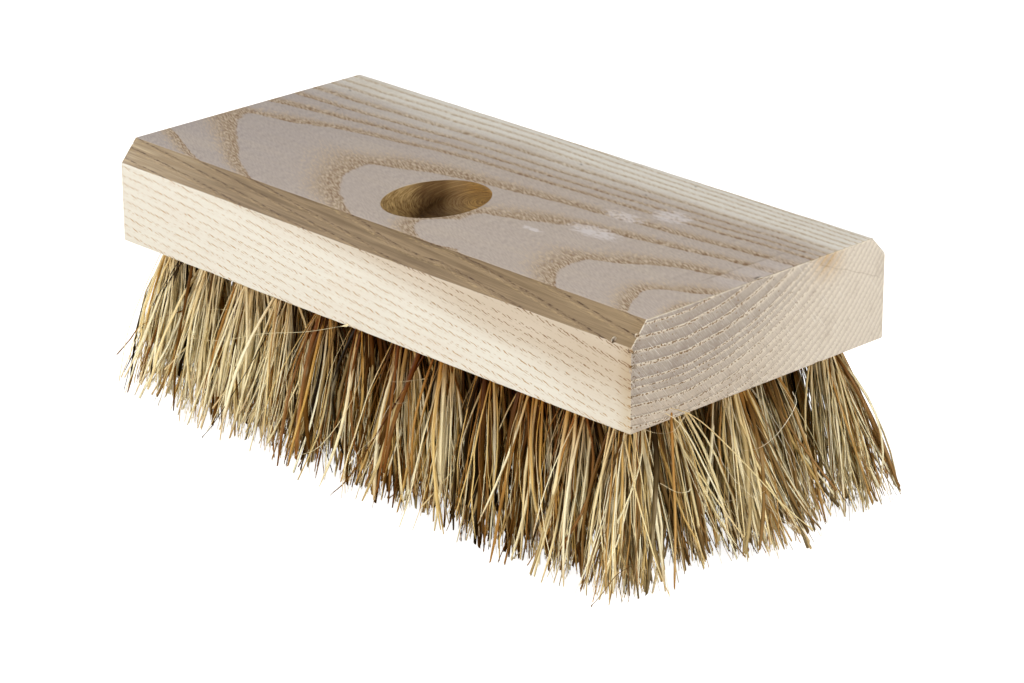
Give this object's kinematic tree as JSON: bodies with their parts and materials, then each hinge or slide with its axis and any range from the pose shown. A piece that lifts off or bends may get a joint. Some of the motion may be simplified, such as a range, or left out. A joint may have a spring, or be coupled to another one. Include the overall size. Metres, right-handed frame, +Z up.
{
  "type": "masonry brush",
  "caption": "Scrubbing brush with an oblong wooden block, stiff plant-fibre tufts set in its underside and a slanted socket in its top for a pole.",
  "frame": {"origin": "middle of the plane that the bristle tips stand on, under the middle of the block", "axes": "+X along the block's length, +Z up; the pole socket leans the pole towards -Y"},
  "size_m": [0.2105, 0.1077, 0.0774],
  "materials": {
    "ash_wood": "planed, unvarnished",
    "union_fibre": "dry plant fibre, matt"
  },
  "bodies": {
    "root": {"brush_block": "ash_wood", "tuft_row1_01": "union_fibre", "tuft_row1_02": "union_fibre", "tuft_row1_03": "union_fibre", "tuft_row1_04": "union_fibre", "tuft_row1_05": "union_fibre", "tuft_row1_06": "union_fibre", "tuft_row1_07": "union_fibre", "tuft_row1_08": "union_fibre", "tuft_row1_09": "union_fibre", "tuft_row1_10": "union_fibre", "tuft_row1_11": "union_fibre", "tuft_row1_12": "union_fibre", "tuft_row2_01": "union_fibre", "tuft_row2_02": "union_fibre", "tuft_row2_03": "union_fibre", "tuft_row2_04": "union_fibre", "tuft_row2_05": "union_fibre", "tuft_row2_06": "union_fibre", "tuft_row2_07": "union_fibre", "tuft_row2_08": "union_fibre", "tuft_row2_09": "union_fibre", "tuft_row2_10": "union_fibre", "tuft_row2_11": "union_fibre", "tuft_row3_01": "union_fibre", "tuft_row3_02": "union_fibre", "tuft_row3_03": "union_fibre", "tuft_row3_04": "union_fibre", "tuft_row3_05": "union_fibre", "tuft_row3_06": "union_fibre", "tuft_row3_07": "union_fibre", "tuft_row3_08": "union_fibre", "tuft_row3_09": "union_fibre", "tuft_row3_10": "union_fibre", "tuft_row3_11": "union_fibre", "tuft_row3_12": "union_fibre", "tuft_row4_01": "union_fibre", "tuft_row4_02": "union_fibre", "tuft_row4_03": "union_fibre", "tuft_row4_04": "union_fibre", "tuft_row4_05": "union_fibre", "tuft_row4_06": "union_fibre", "tuft_row4_07": "union_fibre", "tuft_row4_08": "union_fibre", "tuft_row4_09": "union_fibre", "tuft_row4_10": "union_fibre", "tuft_row4_11": "union_fibre", "tuft_row5_01": "union_fibre", "tuft_row5_02": "union_fibre", "tuft_row5_03": "union_fibre", "tuft_row5_04": "union_fibre", "tuft_row5_05": "union_fibre", "tuft_row5_06": "union_fibre", "tuft_row5_07": "union_fibre", "tuft_row5_08": "union_fibre", "tuft_row5_09": "union_fibre", "tuft_row5_10": "union_fibre", "tuft_row5_11": "union_fibre", "tuft_row5_12": "union_fibre"}
  },
  "joints": []
}
